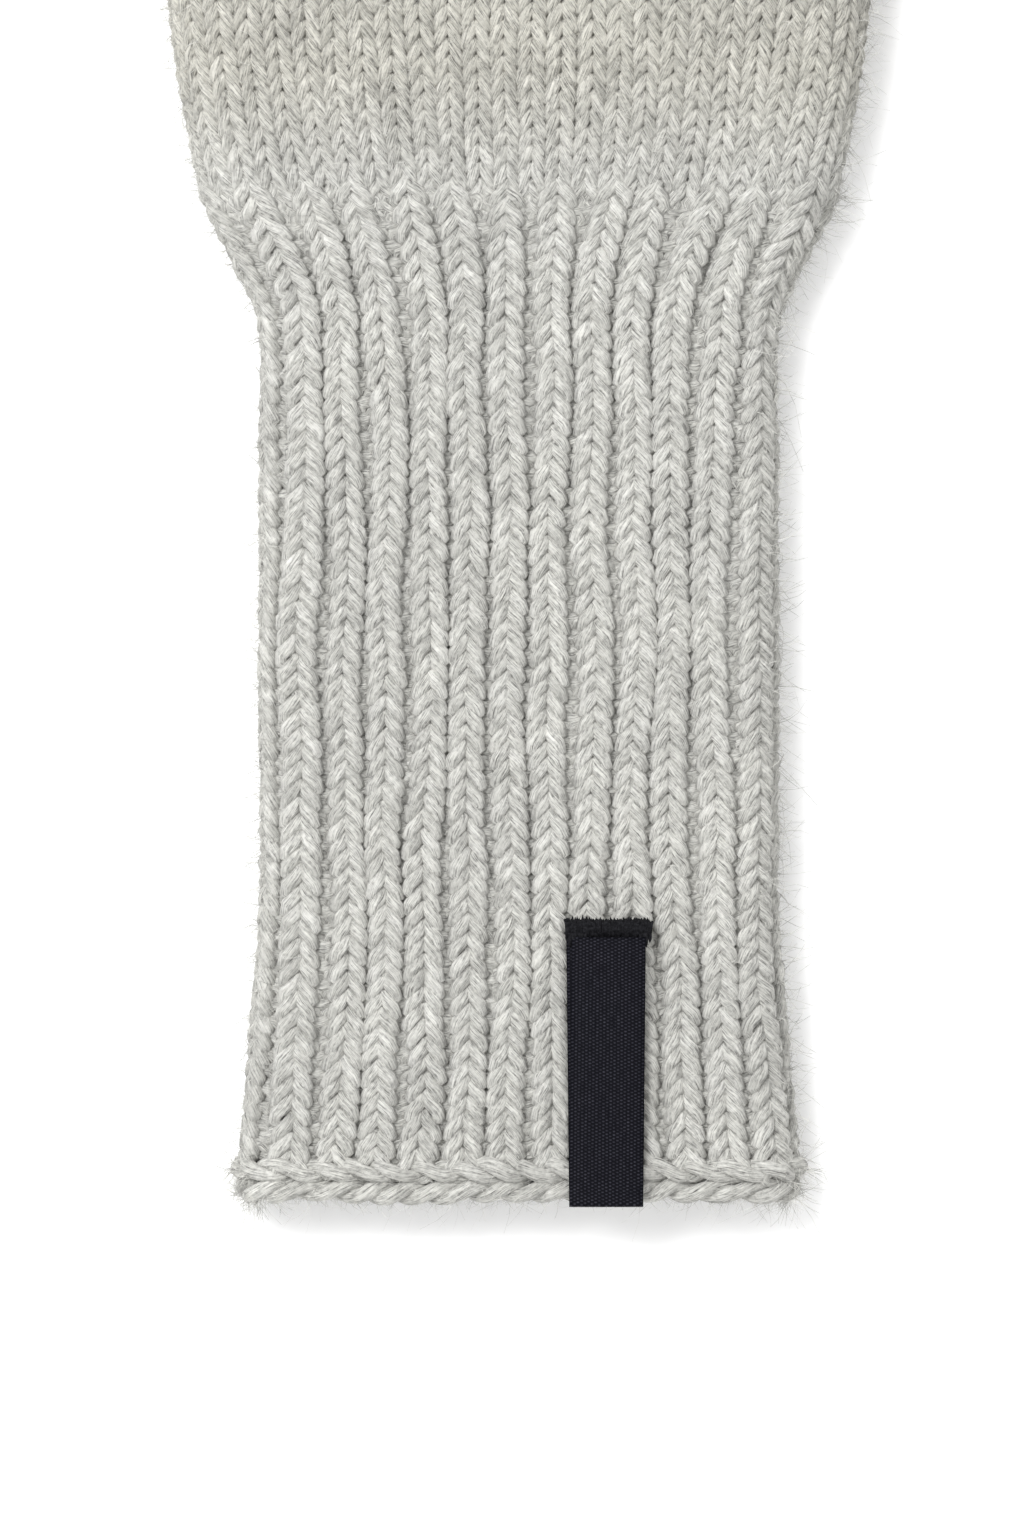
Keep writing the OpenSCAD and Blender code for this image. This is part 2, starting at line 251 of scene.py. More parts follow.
def yarn_rounds():
    """Rounds of yarn looped over a surface whose map holds (share round, rows along)"""
    t = Tree("Yarn rounds", [
        ("Wales", "Int", 8, "Stitches in one round"),
        ("Courses", "Int", 8, "Rounds"),
        ("First course", "Float", 0.0, "Row of the first round"),
        ("Last row", "Float", 1000.0, "Row past which no loop reaches"),
        ("Points", "Int", 12, "Points along one stitch"),
        ("Rib", "Float", 0.0, "1 for one-by-one rib, 0 for plain knit"),
        ("Fade", "Float", 5.0, "Rows below the wrist line over which the rib fades into plain knit"),
        ("Drift", "Float", 0.4, "How far whole columns wander, in stitches"),
        ("Chain", "Float", 0.0, "1 for a coiled edge strand, 0 for knit"),
        ("Lean", "Float", 1.0, "Side to which an edge strand coils"),
        ("Loop height", "Float", 0.88, "Half height of a loop, in rows"),
        ("Leg bulge", "Float", 0.27, "How far the legs of a loop lean, in stitches"),
        ("Rib bulge", "Float", 0.10, "How far a rib loop spreads, in stitches"),
        ("Depth", "Float", 0.0005, "How far the legs stand out"),
        ("Rib depth", "Float", 0.0010, "Half distance between the rib's faces, or an edge strand's lift"),
        ("Radius", "Float", 0.0010, "Radius of the yarn"),
        ("Sides", "Int", 8, "Sides of the yarn's outline"),
        ("Unevenness", "Float", 0.1, "How far the loops stray"),
        ("Seed", "Int", 1, "Changes the straying"),
        ("Material", "Material", None, "Yarn"),
    ])
    s, v = t.sum, t.vec
    per_round = s("MULTIPLY", t["Wales"], t["Points"])
    points = t.node("GeometryNodePoints", {"Count": s("MULTIPLY", per_round, t["Courses"])})
    index = t.node("GeometryNodeInputIndex").outputs[0]
    row = s("FLOOR", s("DIVIDE", s("ADD", index, 0.5), per_round))
    step = s("SUBTRACT", index, s("MULTIPLY", row, per_round))
    stitch = s("DIVIDE", step, t["Points"])
    turn = s("MULTIPLY", stitch, TAU)
    # slow straying, the same at both ends of a round
    round_turn = s("MULTIPLY", s("DIVIDE", stitch, t["Wales"]), TAU)
    wide = s("MULTIPLY", t["Wales"], 0.16)
    ring = s("MULTIPLY", s("COSINE", round_turn), wide), s("MULTIPLY", s("SINE", round_turn), wide)
    around = t.xyz(*ring, s("ADD", s("MULTIPLY", row, 0.9), s("MULTIPLY", t["Seed"], 31.7)))
    stray = t.shifted(t.noise(around, 0.8, 1.5), t["Unevenness"])

    def mixed(a, b, share):
        return s("ADD", s("MULTIPLY", a, s("SUBTRACT", 1.0, share)), s("MULTIPLY", b, share))

    # the rib fades out below the wrist line, which is row 0
    true_row = s("ADD", row, t["First course"])
    faded = s("DIVIDE", s("SUBTRACT", 0.5, true_row), t["Fade"])
    ribbed = s("MULTIPLY", t["Rib"], s("MINIMUM", faded, 1.0))
    drift = t.shifted(t.noise(t.xyz(*ring, s("MULTIPLY", true_row, 0.3)), 0.33, 1.0), t["Drift"])
    lean = s("MULTIPLY", t["Leg bulge"], s("SINE", s("MULTIPLY", turn, 2.0)))
    spread = s("MULTIPLY", s("MULTIPLY", t["Rib bulge"], ribbed), s("SINE", turn))
    across = s("MULTIPLY", s("SUBTRACT", lean, spread), s("SUBTRACT", 1.0, t["Chain"]))
    across = s("ADD", s("ADD", stitch, across), s("ADD", stray[0], drift[0]))
    wave = mixed(s("COSINE", turn), s("MULTIPLY", t["Lean"], s("SINE", turn)), t["Chain"])
    stray_up = s("ADD", stray[1], drift[1])
    along = s("ADD", true_row, s("ADD", s("MULTIPLY", t["Loop height"], wave), stray_up))
    along = s("MINIMUM", along, t["Last row"])
    # the legs stand out, the heads and feet of the loops sink in
    legs = s("MULTIPLY", s("MULTIPLY", t["Depth"], s("COSINE", s("MULTIPLY", turn, 2.0))), -1.0)
    half = s("SINE", s("MULTIPLY", turn, 0.5))
    face = s("DIVIDE", s("MULTIPLY", half, 2.2), s("ADD", s("ABSOLUTE", s("MULTIPLY", half, 1.5)), 0.7))
    rib = s("MULTIPLY", face, s("ADD", t["Rib depth"], legs))
    coil = s("SUBTRACT", t["Rib depth"], s("MULTIPLY", t["Depth"], s("COSINE", turn)))
    height = mixed(mixed(legs, rib, ribbed), coil, t["Chain"])
    height = s("ADD", height, s("MULTIPLY", stray[2], 0.003))

    place = t.xyz(s("DIVIDE", s("FLOORED_MODULO", across, t["Wales"]), t["Wales"]), along, 0.0)
    knit_map = t.named("knit")

    def sampled(value, kind="FLOAT_VECTOR"):
        made = t.node("GeometryNodeSampleUVSurface", {"Mesh": t["Geometry"]}, data_type=kind)
        t.put(made.inputs["Value"], value)
        t.put(made.inputs["Source UV Map"], knit_map)
        t.put(made.inputs["Sample UV"], place)
        return made.outputs["Value"]

    position = t.node("GeometryNodeInputPosition").outputs[0]
    size = sampled(t.named("size", "FLOAT"), "FLOAT")
    out = v("NORMALIZE", sampled(t.named("out")))
    where = v("ADD", sampled(position), v("SCALE", out, scale=s("MULTIPLY", height, size)))
    # the local size of the knit and its outward way ride along with the points
    points = t.store(t.store(points.outputs[0], "girth", size), "away", out, "FLOAT_VECTOR")
    placed = t.node("GeometryNodeSetPosition", {"Geometry": points, "Position": where})
    curves = t.node("GeometryNodePointsToCurves", {"Points": placed.outputs[0], "Curve Group ID": row,
                                                   "Weight": step})
    closed = t.node("GeometryNodeSetSplineCyclic", {0: curves.outputs[0], "Cyclic": True}).outputs[0]
    swell = s("ADD", 0.80, s("MULTIPLY", t.noise(position, 230.0, 1.0, "Fac"), 0.40))
    # the materials read how far along its round, and in which round, each spot of yarn is
    kept = t.store(closed, "thick", s("MULTIPLY", t["Radius"], swell))
    kept = t.store(kept, "along", t.node("GeometryNodeSplineParameter").outputs["Length"])
    kept = t.store(kept, "round", index, domain="CURVE")
    outline = t.node("GeometryNodeCurvePrimitiveCircle", {"Resolution": t["Sides"], "Radius": 1.0}).outputs[0]
    outline = t.store(outline, "outline", position, "FLOAT_VECTOR")
    thick = s("MULTIPLY", t.named("thick", "FLOAT"), t.named("girth", "FLOAT"))
    tube = t.node("GeometryNodeCurveToMesh", {"Curve": kept, "Profile Curve": outline, "Scale": thick})
    t.finish(tube.outputs[0], t["Material"])
    return t


def loose_fibres():
    """Fine curled fibres standing out of the yarn"""
    t = Tree("Loose fibres", [
        ("Fibres", "Collection", None, "Shapes of single fibres"),
        ("Density", "Float", 1000.0, "Fibres on each square metre of yarn"),
        ("Flatness", "Float", 2.0, "How flat the fibres lie"),
        ("Side fuzz", "Float", 4.2, "How many more fibres stand at the glove's sides"),
        ("Side length", "Float", 0.75, "How much longer the fibres at the sides are"),
        ("Open way", "Vector", (0.0, 0.0, 0.0), "A further way in which the yarn lies open"),
        ("Seed", "Int", 1, "Changes their places"),
        ("Ribbon low", "Vector", None, "One corner of the ribbon, under which few fibres show"),
        ("Ribbon high", "Vector", None, "The opposite corner of the ribbon"),
        ("Material", "Material", None, "Fibres"),
    ])
    normal = t.node("GeometryNodeInputNormal").outputs[0]
    facing = t.dot(normal, t.vec("ADD", t.named("away"), t["Open way"]))
    here = t.split(t.node("GeometryNodeInputPosition").outputs[0])
    low, high = t.split(t["Ribbon low"]), t.split(t["Ribbon high"])
    under = t.sum("GREATER_THAN", here[2], low[2])
    for axis in (0, 1):
        under = t.sum("MULTIPLY", under, t.sum("GREATER_THAN", here[axis], low[axis]))
        under = t.sum("MULTIPLY", under, t.sum("LESS_THAN", here[axis], high[axis]))
    bare = t.sum("SUBTRACT", 1.0, t.sum("MULTIPLY", under, 0.92))
    # the sides are fuzziest, the face that lies on the table is rubbed down
    tip = t.split(t.named("away"))[2]
    side = t.sum("SUBTRACT", 1.0, t.sum("ABSOLUTE", tip))
    mouth = t.sum("MULTIPLY", t.sum("MAXIMUM", t.dot(normal, t["Open way"]), 0.0), 0.7)
    share = t.sum("ADD", 0.85, t.sum("MULTIPLY", t.sum("ADD", side, mouth), t["Side fuzz"]))
    rubbed = t.sum("MULTIPLY", t.sum("LESS_THAN", tip, -0.5), 0.45)
    share = t.sum("MULTIPLY", share, t.sum("SUBTRACT", 1.0, rubbed))
    dense = t.sum("MULTIPLY", t.sum("MULTIPLY", t["Density"], share),
                  t.sum("MULTIPLY", bare, t.sum("GREATER_THAN", facing, 0.1)))
    spots = t.node("GeometryNodeDistributePointsOnFaces", {"Mesh": t["Geometry"], "Density": dense,
                                                           "Seed": t["Seed"]})
    tilt = t.node("FunctionNodeRandomValue", {"Min": (-1, -1, -1), "Max": (1, 1, 1), "Seed": t["Seed"]},
                  data_type="FLOAT_VECTOR").outputs[0]
    way = t.vec("ADD", spots.outputs["Normal"], t.vec("SCALE", tilt, scale=t["Flatness"]))
    turned = t.node("FunctionNodeAlignRotationToVector", {"Vector": way}, axis="Z")
    pool = t.node("GeometryNodeCollectionInfo", {"Collection": t["Fibres"], "Separate Children": True,
                                                 "Reset Children": True})
    scale = t.node("FunctionNodeRandomValue", {2: 0.55, 3: 1.15, "Seed": 5}, data_type="FLOAT").outputs[1]
    scale = t.sum("MULTIPLY", scale, t.sum("ADD", 1.0, t.sum("MULTIPLY", side, t["Side length"])))
    hairs = t.node("GeometryNodeInstanceOnPoints", {"Points": spots.outputs["Points"], "Scale": scale,
                                                    "Instance": pool.outputs[0], "Pick Instance": True,
                                                    "Rotation": turned.outputs[0]})
    real = t.node("GeometryNodeRealizeInstances", {0: hairs.outputs[0]})
    # fibres that would reach through the table lie along it
    rise = 0.8 * MM
    spot = t.split(t.node("GeometryNodeInputPosition").outputs[0])
    depth = t.sum("DIVIDE", t.sum("SUBTRACT", spot[2], rise), 2 * rise)
    low = t.sum("MULTIPLY", rise, t.sum("EXPONENT", depth))
    lain = t.node("GeometryNodeSetPosition", {"Geometry": real.outputs[0],
                                              "Selection": t.sum("LESS_THAN", spot[2], rise),
                                              "Position": t.xyz(spot[0], spot[1], low)})
    t.finish(lain.outputs[0], t["Material"])
    return t


def thread_zigzag():
    """A thread laid to and fro over a bar, as an overlock machine does"""
    t = Tree("Zigzag thread", [
        ("Width", "Float", 0.01, "Length of the bar"),
        ("Reach", "Float", 0.002, "Length of one stitch"),
        ("Stitches", "Int", 40, "Stitches along the bar"),
        ("Rise", "Float", 0.0006, "How high the thread humps"),
        ("Radius", "Float", 0.00016, "Radius of the thread"),
        ("Seed", "Int", 1, "Changes the straying"),
        ("Material", "Material", None, "Thread"),
    ])
    s = t.sum
    line = t.node("GeometryNodeMeshLine", {"Count": s("MULTIPLY", t["Stitches"], 8)})
    index = t.node("GeometryNodeInputIndex").outputs[0]
    step = s("DIVIDE", index, 8.0)
    turn = s("MULTIPLY", step, TAU)
    off = t.shifted(t.noise(t.xyz(s("MULTIPLY", step, 0.9), t["Seed"], 0.0), 1.0, 2.0), 1.0)
    x = s("MULTIPLY", s("SUBTRACT", s("DIVIDE", step, t["Stitches"]), 0.5), t["Width"])
    y = s("MULTIPLY", s("MULTIPLY", s("COSINE", turn), s("ADD", 0.5, s("MULTIPLY", off[1], 0.5))), t["Reach"])
    z = s("MULTIPLY", s("ADD", s("ABSOLUTE", s("SINE", turn)), s("MULTIPLY", off[2], 0.5)), t["Rise"])
    where = t.xyz(s("ADD", x, s("MULTIPLY", off[0], 0.6 * MM)), y, z)
    placed = t.node("GeometryNodeSetPosition", {"Geometry": line.outputs[0], "Position": where})
    curve = t.node("GeometryNodeMeshToCurve", {0: placed.outputs[0]})
    ring = t.node("GeometryNodeCurvePrimitiveCircle", {"Resolution": 6, "Radius": t["Radius"]})
    tube = t.node("GeometryNodeCurveToMesh", {"Curve": curve.outputs[0], "Profile Curve": ring.outputs[0],
                                              "Fill Caps": True})
    t.finish(tube.outputs[0], t["Material"])
    return t


MADE = {}


def once(name, maker, *args):
    """What maker makes, made the first time it is asked for"""
    if name not in MADE:
        MADE[name] = maker(*args)
    return MADE[name]


def grown(source, maker, name, **inputs):
    """What a tree grows on source, as a plain mesh object"""
    t = once(maker.__name__, maker)
    carrier = source.copy()
    bpy.context.scene.collection.objects.link(carrier)
    made = carrier.modifiers.new("grow", "NODES")
    made.node_group = t.tree
    for label, value in inputs.items():
        made[t.ids[label.replace("_", " ")]] = value
    bpy.context.view_layer.update()
    mesh = bpy.data.meshes.new_from_object(carrier.evaluated_get(bpy.context.evaluated_depsgraph_get()))
    bpy.data.objects.remove(carrier)
    mesh.name = name
    piece = bpy.data.objects.new(name, mesh)
    bpy.context.scene.collection.objects.link(piece)
    return piece


def joined(name, pieces):
    """Several mesh objects as one"""
    for o in bpy.context.view_layer.objects:
        o.select_set(False)
    for o in pieces:
        o.select_set(True)
    bpy.context.view_layer.objects.active = pieces[0]
    bpy.ops.object.join()
    pieces[0].name = name
    return pieces[0]


# ---------------------------------------------------------------- materials


class Paint(Sums):
    """A material built by writing sums"""

    def __init__(self, name):
        self.made = bpy.data.materials.new(name)
        self.made.use_nodes = True
        self.tree = self.made.node_tree
        self.skin = self.tree.nodes["Principled BSDF"]

    def grain(self, where, scale, detail=2.0, rough=0.5):
        return self.noise(where, scale, detail, "Fac", Roughness=rough)

    def ramp(self, value, stops):
        made = self.node("ShaderNodeValToRGB", {0: value})
        marks = made.color_ramp.elements
        while len(marks) < len(stops):
            marks.new(0.5)
        for mark, (at, colour) in zip(marks, stops):
            mark.position = at
            mark.color = (*colour, 1)
        return made.outputs[0]

    def mixed(self, how, share, a, b):
        made = self.node("ShaderNodeMix", data_type="RGBA", blend_type=how)
        for key, value in ((0, share), (6, a), (7, b)):
            self.put(made.inputs[key], value)
        return made.outputs[2]

    def set(self, **values):
        for key, value in values.items():
            self.put(self.skin.inputs[key.replace("_", " ")], value)

    def bump(self, height, strength, distance, under=None):
        made = self.node("ShaderNodeBump", {"Height": height, "Strength": strength, "Distance": distance})
        if under is not None:
            self.put(made.inputs["Normal"], under)
        return made.outputs[0]


def yarn_paint(name, shift, tint=(1.0, 1.0, 1.0)):
    """Heather yarn: fine twisted fibres of several greys, mottled along and across the knit"""
    c = bpy.context.scene.glove_colours
    p = Paint(name)
    along = p.node("ShaderNodeAttribute", attribute_name="along").outputs["Fac"]
    rounds = p.node("ShaderNodeAttribute", attribute_name="round").outputs["Fac"]
    outline = p.node("ShaderNodeAttribute", attribute_name="outline").outputs["Vector"]
    here = p.node("ShaderNodeTexCoord").outputs["Object"]

    def strands(twist, stretch, scale, detail, rough):
        angle = p.sum("MULTIPLY", along, twist)
        turned = p.node("ShaderNodeVectorRotate", {"Vector": outline, "Angle": angle},
                        rotation_type="Z_AXIS").outputs[0]
        run = p.xyz(p.sum("MULTIPLY", rounds, 3.7), None, p.sum("MULTIPLY", along, stretch))
        where = p.node("ShaderNodeVectorMath", {0: turned, 1: run}, operation="ADD").outputs[0]
        return p.grain(where, scale, detail, rough)

    fine = strands(150.0, 60.0, 8.0, 3.0, 0.6)
    hairs = strands(260.0, 90.0, 5.0, 2.0, 0.5)
    stray = p.grain(here, 1500.0, 2.0, 0.6)
    lengths = p.xyz(p.sum("MULTIPLY", along, 210.0), p.sum("MULTIPLY", rounds, 9.3), None)
    tone = p.grain(lengths, 1.0, 2.0, 0.6)
    patch = p.grain(here, 60.0, 2.0, 0.5)
    rest = p.sum("ADD", p.sum("MULTIPLY", hairs, 0.25), p.sum("MULTIPLY", stray, 0.20))
    body = p.sum("ADD", p.sum("MULTIPLY", fine, 0.55), rest)
    dark, middle, light = tuple(c.dark), tuple(c.middle), tuple(c.light)
    half = [(a + b) / 2 * shift for a, b in zip(dark, middle)]
    colour = p.ramp(body, [(0.35, dark), (0.42, half), (0.49, middle), (0.58, light)])
    grey = p.ramp(tone, [(0.32, (0.70, 0.70, 0.69)), (0.50, (0.90, 0.90, 0.89)), (0.64, (1.0, 1.0, 1.0))])
    colour = p.mixed("MULTIPLY", 0.8, colour, grey)
    big = p.ramp(patch, [(0.35, (0.90, 0.90, 0.90)), (0.65, (1.0, 1.0, 0.995))])
    colour = p.mixed("MULTIPLY", 0.8, colour, big)
    # the tint comes in over the first rows above the wrist line
    warm = p.ramp(p.sum("MULTIPLY", p.split(here)[1], 30.0), [(0.0, (1.0, 1.0, 1.0)), (0.45, tint)])
    colour = p.mixed("MULTIPLY", 1.0, colour, warm)
    p.set(Base_Color=colour, Roughness=0.95, Specular_IOR_Level=0.12, Sheen_Weight=0.2, Sheen_Roughness=0.6)
    ridges = p.bump(fine, 0.9, 0.0006)
    p.set(Normal=p.bump(stray, 0.4, 0.00025, ridges))
    return p.made


def gap_shade_paint():
    """Felted fibres deep between the loops, coloured far darker than the yarn as painted shade between the
    loops
    """
    c = bpy.context.scene.glove_colours
    p = Paint("Felted gaps with painted shade")
    here = p.node("ShaderNodeTexCoord").outputs["Object"]
    hair = p.grain(here, 1400.0, 4.0, 0.7)
    # the felt's grain runs from painted shade darker than the gaps' colour up to the yarn's middle grey
    dark = [x * 0.45 for x in c.core]
    felt = p.ramp(hair, [(0.35, dark), (0.6, tuple(c.core)), (0.75, tuple(c.middle))])
    p.set(Base_Color=felt, Roughness=1.0, Specular_IOR_Level=0.05)
    p.set(Normal=p.bump(hair, 0.6, 0.0004))
    return p.made


def fibre_paint():
    """Single loose fibres, mostly pale"""
    c = bpy.context.scene.glove_colours
    p = Paint("Loose fibres")
    here = p.node("ShaderNodeTexCoord").outputs["Object"]
    tone = p.grain(here, 420.0, 1.0)
    dim = [x * 0.6 for x in c.middle]
    hair = p.ramp(tone, [(0.34, dim), (0.48, tuple(c.middle)), (0.62, tuple(c.light))])
    p.set(Base_Color=hair, Roughness=0.7, Specular_IOR_Level=0.3)
    return p.made


# ---------------------------------------------------------------- surfaces that the yarn follows


def oval_point(w, t, u):
    """(x, z, out x, out z) at the share u round a flat oval, from its left side over the top"""
    r = t / 2
    flat = max(w - t, 0.0)
    total = 2 * flat + TAU * r
    d = (u % 1.0) * total
    quarter = math.pi * r / 2
    for length, kind in ((quarter, 0), (flat, 1), (2 * quarter, 2), (flat, 3), (quarter, 4)):
        if d <= length or kind == 4:
            break
        d -= length
    if kind in (0, 2, 4):
        start = {0: math.pi, 2: math.pi / 2, 4: -math.pi / 2}[kind]
        a = start - d / max(r, 1e-9)
        side = 1 if kind == 2 else -1
        return side * flat / 2 + r * math.cos(a), r * math.sin(a), math.cos(a), math.sin(a)
    if kind == 1:
        return -flat / 2 + d, r, 0.0, 1.0
    return flat / 2 - d, -r, 0.0, -1.0


def knit_surface(name, stations, steps, seed=0, sag=0.0, ruffle=0.0):
    """A tube through stations (row, centre, across, width, thickness, size of the knit), with its knit map"""
    rows = len(stations)
    verts, outs, sizes = [], [], []
    for row, centre, across, w, t, size in stations:
        for i in range(steps + 1):
            x, z, ox, oz = oval_point(w, t, i / steps)
            p = centre + across * x + Vector((0, 0, z))
            soft = noise.noise(Vector((p.x * 45, p.y * 32, seed + 3.1)))
            dip = 0.0
            if oz > 0.3:
                dip = -sag * (1 - (2 * x / max(w, 1e-6)) ** 2) + 0.45 * MM * soft
            side = ruffle * noise.noise(Vector((seed + 7.7, p.y * 60, 0.0))) * ox
            verts.append(p + Vector((0, 0, dip * (1 if w > 0.03 else 0.4))) + across * side)
            outs.append(across * ox + Vector((0, 0, oz)))
            sizes.append(size)
    faces, corners = [], []
    for j in range(rows - 1):
        for i in range(steps):
            a = j * (steps + 1) + i
            faces.append((a, a + 1, a + steps + 2, a + steps + 1))
            lo, hi = stations[j][0], stations[j + 1][0]
            corners += [(i / steps, lo), ((i + 1) / steps, lo), ((i + 1) / steps, hi), (i / steps, hi)]
    mesh = bpy.data.meshes.new(name)
    mesh.from_pydata(verts, [], faces)
    layer = mesh.uv_layers.new(name="knit")
    layer.data.foreach_set("uv", np.array(corners, np.float32).ravel())
    ways = mesh.attributes.new("out", "FLOAT_VECTOR", "POINT")
    ways.data.foreach_set("vector", np.array(outs, np.float32).ravel())
    girths = mesh.attributes.new("size", "FLOAT", "POINT")
    girths.data.foreach_set("value", np.array(sizes, np.float32))
    return bpy.data.objects.new(name, mesh)


def core_shell(name, surface, first, last, inset, material):
    """The felted backing of some rows of a surface: a thin closed skin just under the yarn"""
    mesh = surface.data
    count = len(mesh.vertices)
    co = np.zeros(count * 3)
    mesh.vertices.foreach_get("co", co)
    out = np.zeros(count * 3)
    mesh.attributes["out"].data.foreach_get("vector", out)
    uv = np.zeros(len(mesh.loops) * 2)
    mesh.uv_layers["knit"].data.foreach_get("uv", uv)
    uv = uv.reshape(-1, 2)
    steps = next(i for i in range(1, count) if mesh.polygons[i].vertices[0] != i)
    rows = count // (steps + 1)
    row_at = [uv[(j * steps) * 4][1] for j in range(rows - 1)] + [uv[(rows - 2) * steps * 4 + 2][1]]
    keep = [j for j in range(rows) if first - 0.6 <= row_at[j] <= last + 0.6]
    keep = keep[:-1:2] + keep[-1:]
    co, out = co.reshape(rows, steps + 1, 3)[keep, :-1], out.reshape(rows, steps + 1, 3)[keep, :-1]
    n = len(keep)
    felt = 0.25 * MM
    skins = np.concatenate([(co - out * depth).reshape(-1, 3) for depth in (inset, inset + felt)])
    half = n * steps
    faces = []
    for j in range(n - 1):
        for i in range(steps):
            a, b = j * steps + i, j * steps + (i + 1) % steps
            faces.append((a, b, b + steps, a + steps))
            faces.append((half + b, half + a, half + a + steps, half + b + steps))
    for i in range(steps):
        b = (i + 1) % steps
        faces.append((b, i, half + i, half + b))
        top = (n - 1) * steps
        faces.append((top + i, top + b, half + top + b, half + top + i))
    made = bpy.data.meshes.new(name)
    made.from_pydata(skins.tolist(), [], faces)
    made.polygons.foreach_set("use_smooth", [True] * len(faces))
    made.materials.append(material)
    piece = bpy.data.objects.new(name, made)
    bpy.context.scene.collection.objects.link(piece)
    return piece


def bake_map(piece):
    """A tidy flat map for the yarn: one strip for each round, unrolled"""
    mesh = piece.data
    n = len(mesh.loops)
    at = np.zeros(n, np.int32)
    mesh.loops.foreach_get("vertex_index", at)
    verts = len(mesh.vertices)

    def read(name, width):
        values = np.zeros(verts * width, np.float32)
        mesh.attributes[name].data.foreach_get("vector" if width == 3 else "value", values)
        return values.reshape(verts, width)

    outline, along, rounds = read("outline", 3), read("along", 1)[:, 0], read("round", 1)[:, 0]
    turn = (np.arctan2(outline[:, 1], outline[:, 0]) / TAU) % 1.0
    total = np.zeros(int(rounds.max()) + 1)
    np.maximum.at(total, rounds.astype(int), along)
    share = along / np.maximum(total[rounds.astype(int)] * 1.003, 1e-6)
    u, v = share[at], turn[at]
    size = np.zeros(len(mesh.polygons), np.int32)
    mesh.polygons.foreach_get("loop_total", size)
    start = np.concatenate([[0], np.cumsum(size)[:-1]])
    owner = np.repeat(np.arange(len(size)), size)
    for values in (u, v):
        top = np.maximum.reduceat(values, start)[owner]
        values[(top - values) > 0.5] += 1.0
    strips = len(total)
    u = np.clip(u, 0, 1.02) / 1.02
    v = (rounds[at] + 0.04 + 0.92 * np.clip(v, 0, 1.2) / 1.2) / strips
    layer = mesh.uv_layers.new(name="OFBake")
    layer.data.foreach_set("uv", np.stack([u, v], 1).astype(np.float32).ravel())


def fibre_shapes():
    """A few curled single fibres to scatter"""
    pool = bpy.data.collections.new("Single fibres")
    rng = np.random.default_rng(11)
    for k in range(9):
        bend = rng.uniform(-1, 1, (2, 2)) * 1.7
        length = rng.uniform(1.5, 3.9) * MM
        rings = 4
        verts = []
        for j in range(rings):
            s = j / (rings - 1)
            x = length * (bend[0, 0] * s * s * 0.5 + bend[1, 0] * s ** 3 * 0.4)
            y = length * (bend[0, 1] * s * s * 0.5 + bend[1, 1] * s ** 3 * 0.4)
            r = 0.034 * MM * (1 - 0.55 * s)
            for i in range(3):
                a = TAU * i / 3
                verts.append((x + r * math.cos(a), y + r * math.sin(a), s * length))
        faces = [(j * 3 + i, j * 3 + (i + 1) % 3, j * 3 + 3 + (i + 1) % 3, j * 3 + 3 + i)
                 for j in range(rings - 1) for i in range(3)]
        faces += [(2, 1, 0), tuple(range(rings * 3 - 3, rings * 3))]
        mesh = bpy.data.meshes.new(f"fibre_{k}")
        mesh.from_pydata(verts, [], faces)
        pool.objects.link(bpy.data.objects.new(f"fibre_{k}", mesh))
    return pool


def knit_piece(name, surface, first, courses, wales, settings, yarn, inset, fuzz, seed, open_way=(0, 0, 0)):
    """Some rounds of knit on a surface, their felted backing and their loose fibres, as one mesh"""
    values = dict(Wales=wales, Courses=courses, First_course=float(first), Seed=seed, Material=yarn,
                  Unevenness=bpy.context.scene.glove_knit.unevenness)
    values.update(settings)
    loops = grown(surface, yarn_rounds, name, **values)
    bake_map(loops)
    parts = [loops]
    if fuzz:
        low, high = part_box("label")
        parts.append(grown(loops, loose_fibres, name + "_fuzz", Fibres=once("fibres", fibre_shapes),
                           Density=fuzz, Flatness=1.5, Seed=seed, Open_way=open_way,
                           Ribbon_low=(low.x - MM, low.y - MM, 8 * MM), Ribbon_high=tuple(high),
                           Material=once("fibre", fibre_paint)))
    loops.data.attributes.remove(loops.data.attributes["away"])
    if inset is not None:
        last = first + courses - 1
        parts.append(core_shell(name + "_core", surface, first, last, inset, once("core", gap_shade_paint)))
    return joined(name, parts)


def box_size(node):
    lo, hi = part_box(node)
    return hi - lo


def eased(t):
    t = min(max(t, 0.0), 1.0)
    return t * t * (3 - 2 * t)


def sleeve_size(y):
    """(width, thickness) of the glove at y, from its mouth to its knuckles"""
    shape = bpy.context.scene.glove_shape
    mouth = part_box("cuff_edge")[0].y
    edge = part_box("cuff_edge")[1].y
    wide = box_size("cuff_edge").x
    wrist = box_size("wrist_rib").x
    bend = JOINTS["wrist"].y
    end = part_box("hand")[1].y
    thick, thin = box_size("hand").z, box_size("index_lower").z
    flat = box_size("cuff").z
    hand_w = 2 * -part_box("hand")[0].x
    row_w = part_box("index_lower")[1].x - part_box("little_lower")[0].x
    if y <= bend:
        s = min(max((y - edge) / shape.spread, 0.0), 1.0)
        w = wide + (shape.narrow - wide) * (1 - (1 - s) ** 1.4)
        w += 1.2 * MM * eased((y - bend + 12 * MM) / (12 * MM))
        return w - 0.8 * MM * (y <= mouth), flat
    if y <= 0:
        s = (y - bend) / -bend
        low = shape.narrow + 1.2 * MM
        return low + (wrist - low) * (0.5 * eased(s) + 0.5 * s), flat
    s = y / end
    swell = 1 - (1 - min(s / 0.36, 1.0)) ** 2
    draw = eased((s - 0.5) / 0.38)
    w = wrist + (hand_w - wrist) * swell
    row_w = min(row_w, w)
    return w + (row_w - w) * draw, flat + (thick - flat) * swell + (thin - thick) * draw


